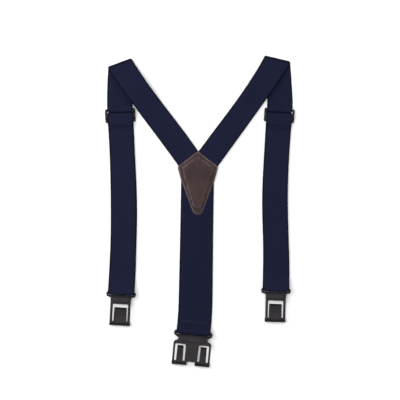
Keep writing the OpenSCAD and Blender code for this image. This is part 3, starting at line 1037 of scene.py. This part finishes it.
def face_plate(right, cuts):
    """The plate. right is its outline's right-hand side and cuts are its openings, as (left, right, top)."""
    bottom = right[-1][1]
    openings = []
    for x0, x1, top in cuts:
        openings += [(x1, bottom), (x1, top), (x0, top), (x0, bottom)]
    left = [(-x, y) for x, y in reversed(right)]
    outline = fillet(right + openings + left, 1.4, closed=True)
    return raised(plate([outline], CLIP_PLATE, PLATE_BEVEL), CLIP_HEIGHT - CLIP_PLATE / 2)


def face_details(rib_width, pad):
    """A low rib across the plate's face, and a raised pad below it."""
    y, foot, top = RIB_Y, CLIP_HEIGHT - 0.4, CLIP_HEIGHT + 0.45
    section = fillet([(y - 1.0, foot), (y + 1.0, foot), (y + 0.5, top), (y - 0.5, top)], 0.3, closed=True)
    return [upright([section], rib_width, 0.2), raised(plate([pad], 1.2, 0.4), CLIP_HEIGHT - 0.2)]


def belt_clip(name, meshes, material):
    """One moulded clip on its webbing bar. name is left, right or back."""
    piece = fused(f"{name}_belt_clip", meshes, VOXEL, 3, material)
    placed(piece.data, joint_place(f"{name}_clip_pivot")[:2], clip_turn(name))
    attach(piece, f"{name}_clip")
    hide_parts(f"{name}_clip")


def front_clip(side, material):
    wings, body, window, top = 47.0, 16.1, 11.9, -17.6
    bottom = CLIP_HEIGHT / 2 - HOOK_LENGTH
    right = [(22.4, -3.9), (22.4, -5.6), (body + 0.5, -7.4), (body, -8.8), (body, bottom)]
    meshes = [face_plate(right, [(-window, window, top)])]
    meshes += bar_and_ends(wings, 2 * front_width(side.length), -3.5)
    meshes += hook(-body, body, -window, window, HOOK_LENGTH)
    meshes += tongue(0.0, 19.7, -23.0, HOOK_LENGTH)
    meshes += face_details(41.0, rounded_rectangle(-12.9, -14.6, 12.9, -7.6, 1.0))
    belt_clip(side.name, meshes, material)


def back_clip(material):
    wings, body, notch, top = 61.4, 29.9, 6.8, -19.4
    windows = ((10.2, 26.6), (-26.6, -10.2))
    bottom = CLIP_HEIGHT / 2 - BACK_HOOK_LENGTH
    right = [(29.4, -3.9), (29.4, -5.6), (22.8, -9.8), (24.2, -13.2)]
    right += [(body - 1.6, -14.6), (body, -17.4), (body, bottom)]
    meshes = [face_plate(right, [(*windows[0], top), (-notch, notch, -46.7), (*windows[1], top)])]
    meshes += bar_and_ends(wings, 2 * back_width(0.0), -3.75)
    for x0, x1, window in ((notch, body, windows[0]), (-body, -notch, windows[1])):
        meshes += hook(x0, x1, *window, BACK_HOOK_LENGTH)
        meshes += tongue(sum(window) / 2, 9.6, -22.2, BACK_HOOK_LENGTH)
    meshes += face_details(54.0, rounded_rectangle(-19.5, -15.6, 19.5, -8.4, 1.2))
    belt_clip("back", meshes, material)


def adjuster(side, material):
    """A three-bar slide whose centre bar is arched above the outer ones."""
    width, height, bar, rail = 48.0, 21.6, 3.4, 3.4
    slot_x = width / 2 - rail
    loops = [rounded_rectangle(-width / 2, -height / 2, width / 2, height / 2, 2.6)]
    for sign in (-1, 1):
        edges = sorted((sign * bar / 2, sign * (height / 2 - bar)))
        loops.append(rounded_rectangle(-slot_x, edges[0], slot_x, edges[1], 0.9))
    mesh = plate([refined(closed_line(loop), 0.8)[:-1] for loop in loops], ADJUSTER_THICKNESS, 0.55, 3)
    low = box(f"{side.name}_slider")[0][2] + ADJUSTER_THICKNESS / 2
    for vertex in mesh.vertices:
        y = abs(vertex.co.y) / MM
        vertex.co.z += (low + ADJUSTER_ARCH * (1 - smooth(y, 1.9, 7.0))) * MM
    piece = finished(f"{side.name}_adjuster", mesh, material, 50.0)
    placed(piece.data, side.adjuster, side.adjuster_turn)
    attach(piece, f"{side.name}_slider")
    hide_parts(f"{side.name}_slider")


# ---------------------------------------------------------------- leather patch

# Half of the patch's outline and of its raised panel, before both are grown by their rounding.
PATCH_HALF = [(26.6, 69.5), (21.2, 49.5), (3.9, 2.0), (1.3, 0.0)]
PATCH_APEX = 90.0
PATCH_ROUND = 5.0
PANEL_HALF = [(22.6, 69.0), (17.9, 50.0), (4.9, 8.2)]
PANEL_APEX = 86.0
PANEL_ROUND = 3.0
SPOKES = 320
RINGS = (26, 20, 16)  # on the flange, on the panel's bevel and inside it
BEVEL = 3.2
CORNER_STEPS = 7
LEATHER = 1.6


def shield(apex, half):
    return [(0.0, apex)] + [(-x, y) for x, y in half] + [(x, y) for x, y in reversed(half)]


def grown(corners, distance):
    """A convex outline moved outwards, with its corners rounded."""
    corners = np.array(corners, float)
    points = []
    for before, corner, after in zip(np.roll(corners, 1, axis=0), corners, np.roll(corners, -1, axis=0)):
        first, last = unit(corner - before), unit(after - corner)
        outward = distance * np.array([first[1], -first[0]])
        turn = math.degrees(math.acos(np.clip(first @ last, -1, 1)))
        points += [corner + turned(outward, turn * k / CORNER_STEPS) for k in range(CORNER_STEPS + 1)]
    return np.array(points)


def depth_in(points, corners, rounding):
    """How far points lie inside a convex outline grown by rounding, and below 0 outside it."""
    corners = np.array(corners, float)
    from_lines, from_sides = [], []
    for a, b in zip(corners, np.roll(corners, -1, axis=0)):
        along = unit(b - a)
        offset = points - a
        from_lines.append(offset @ np.array([-along[1], along[0]]))
        nearest = np.clip(offset @ along, 0, np.linalg.norm(b - a))[:, None] * along
        from_sides.append(np.linalg.norm(offset - nearest, axis=1))
    inside = np.min(from_lines, axis=0)
    return np.where(inside > 0, inside, -np.min(from_sides, axis=0)) + rounding


def panel_depth(points):
    return depth_in(points, shield(PANEL_APEX, PANEL_HALF), PANEL_ROUND)


def patch_floor(y):
    """The underside of the shield: on the shoulder straps at the top, on the back strap below."""
    return PATCH_LOW[2] - 0.05 - 1.45 * (1 - smooth(y, 44.0, 64.0))


def patch_height(local):
    """The leather's upper side, and how much paler its high edges are: partly wear, partly a painted
    highlight.
    """
    from_edge = depth_in(local, shield(PATCH_APEX, PATCH_HALF), PATCH_ROUND)
    into_panel = panel_depth(local)
    top = patch_floor(local[:, 1]) + LEATHER - 0.95 * np.exp(-from_edge / 1.2)
    top -= 0.11 * np.clip(6.0 - from_edge, 0, 6)
    top -= 0.22 * np.exp(-(((from_edge - 2.5) / 0.7) ** 2))
    top -= 0.50 * np.exp(-(((into_panel + 0.5) / 0.9) ** 2))
    top += 1.8 * smooth(into_panel, -0.3, 2.5) + 0.6 * smooth(into_panel, 1.0, 16.0)
    # Painted highlight, partly wear: paler along the top of the panel's bevel and near the flange's edge.
    wear = np.exp(-(((into_panel - 1.4) / 1.2) ** 2)) + 0.9 * np.exp(-(((from_edge - 1.4) / 1.1) ** 2))
    # Painted shade: below the top, the right-hand side gets less of that highlight, as if the light came from
    # the left.
    unlit_right = 0.6 * smooth(local[:, 0], -12.0, 12.0) * (1 - smooth(local[:, 1], 55.0, 68.0))
    return top, wear * (1 - unlit_right)


def panel_foot(centre, rim):
    """The share of the way from centre to each rim point at which the panel begins."""
    low, high = np.zeros(len(rim)), np.ones(len(rim))
    for _ in range(24):
        middle = (low + high) / 2
        inside = panel_depth(centre + (rim - centre) * middle[:, None]) > 0
        low, high = np.where(inside, middle, low), np.where(inside, high, middle)
    return low


def patch_rings(centre, rim):
    """Shares of the way from centre to rim, ring by ring, crowded where the leather bends."""
    foot = panel_foot(centre, rim)
    top = foot - BEVEL / np.linalg.norm(rim - centre, axis=1)
    rings = [1 - (1 - foot) * t**1.3 for t in np.linspace(0, 1, RINGS[0], endpoint=False)]
    rings += [foot + (top - foot) * t for t in np.linspace(0, 1, RINGS[1], endpoint=False)]
    return rings + [top * (1 - t) for t in np.linspace(0, 1, RINGS[2], endpoint=False)]


def evenly(outline, count, offset=0.0):
    """Points evenly spaced along a closed outline, and its length."""
    closed = closed_line(outline)
    lengths = lengths_along(closed)
    at = (np.arange(count) + 0.5) * lengths[-1] / count + offset
    return points_at(closed, lengths, at), lengths[-1]


def shield_faces(rings, count):
    """The leather's upper and lower side, each rings of SPOKES points and a centre, and the edge between."""
    faces = []
    for sheet in (0, count):
        faces += ring_faces(rings, SPOKES, sheet)
        last = sheet + (rings - 1) * SPOKES
        for k in range(SPOKES):
            faces.append((last + k, last + (k + 1) % SPOKES, sheet + count - 1))
    for k in range(SPOKES):
        a, b = k, (k + 1) % SPOKES
        faces.append((a, b, b + count, a + count))
    return faces


def leather_shield(material):
    rim, _ = evenly(grown(shield(PATCH_APEX, PATCH_HALF), PATCH_ROUND), SPOKES)
    centre = np.array([0.0, 50.0])
    rings = patch_rings(centre, rim)
    local = np.concatenate([centre + (rim - centre) * share[:, None] for share in rings] + [[centre]])
    top, wear = patch_height(local)
    heights = (top, patch_floor(local[:, 1]))
    vertices = [(x + PATCH_X, y, z) for sheet in heights for (x, y), z in zip(local, sheet)]
    # The painted highlight, partly wear, for each point of the upper side; none on the underside.
    wear = np.concatenate([wear, np.zeros(len(local))])
    faces = shield_faces(len(rings), len(local))
    piece = mesh_piece("leather_shield", vertices, faces, material, 55.0, {"wear": wear})
    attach(piece, "root")
    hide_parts("patch_front")


def patch_stitches(material):
    """Round the flange, 2.5 mm in from its edge."""
    pitch, length = 3.3, 2.3
    path = grown(shield(PATCH_APEX, PATCH_HALF), PATCH_ROUND - 2.5)
    count = int(evenly(path, 1)[1] / pitch)
    spots, _ = evenly(path, count)
    ahead = evenly(path, count, 0.3)[0] - spots
    heights, _ = patch_height(spots)
    centres = [(x + PATCH_X, y, z) for (x, y), z in zip(spots, heights)]
    directions = [(*d, 0.0) for d in ahead]
    piece = stitches("patch_stitches", centres, directions, [(0, 0, 1)] * count, length, material)
    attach(piece, "root")
    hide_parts("patch_stitching")


def patch_stiffener(material):
    low, high = box("patch_pad")
    panel = grown(shield(PANEL_APEX, PANEL_HALF), PANEL_ROUND - 1.6) + (PATCH_X, 0)
    pad = finished("patch_stiffener", raised(plate([panel], 1.3, 0.3), (low[2] + high[2]) / 2), material)
    for vertex in pad.data.vertices:
        vertex.co.z += float(patch_floor(vertex.co.y / MM) - PATCH_LOW[2] + 0.1) * MM
    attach(pad, "root")
    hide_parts("patch_pad")


def patch_lining(material):
    outline = grown(shield(PATCH_APEX, PATCH_HALF), PATCH_ROUND - 1.0)
    top = box("patch_back")[1][2]
    mesh = raised(plate([outline + (PATCH_X, 0)], top, 0.25), top / 2)
    piece = finished("patch_lining", mesh, material)
    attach(piece, "root")
    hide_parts("patch_back")


# ---------------------------------------------------------------- the whole object


def make_suspenders():
    webbing = webbing_material("navy_webbing", 0.92)
    wide_webbing = webbing_material("navy_back_webbing", 0.74)
    plastic = plastic_material("black_plastic")
    thread = thread_material("navy_thread", (0.016, 0.019, 0.042))
    brown_thread = thread_material("brown_thread", (0.060, 0.042, 0.040))
    leather = leather_material("brown_leather", (0.030, 0.0145, 0.0145), (0.050, 0.0255, 0.0260))
    lining = leather_material("lining_leather", (0.030, 0.018, 0.015), (0.055, 0.034, 0.028), 0.6)
    for name in SIDES:
        side = Side(name)
        front_straps(side, webbing)
        adjuster(side, plastic)
        front_clip(side, plastic)
        half_row = STRAP_WIDTH / 2 - 2.5
        row = row_of_stitches(f"{name}_hem_stitches", side.plan, HEM_ROW, HEM_ROW_Z, half_row, thread)
        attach(row, f"{name}_slider")
        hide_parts(f"{name}_hem_stitching")
    plan = back_plan()
    back_webbing(plan, wide_webbing)
    back_hem(plan, wide_webbing, thread)
    back_clip(plastic)
    leather_shield(leather)
    patch_stitches(brown_thread)
    patch_stiffener(felt_material("grey_felt"))
    patch_lining(lining)


make_camera()
make_floor()
make_studio()
make_suspenders()
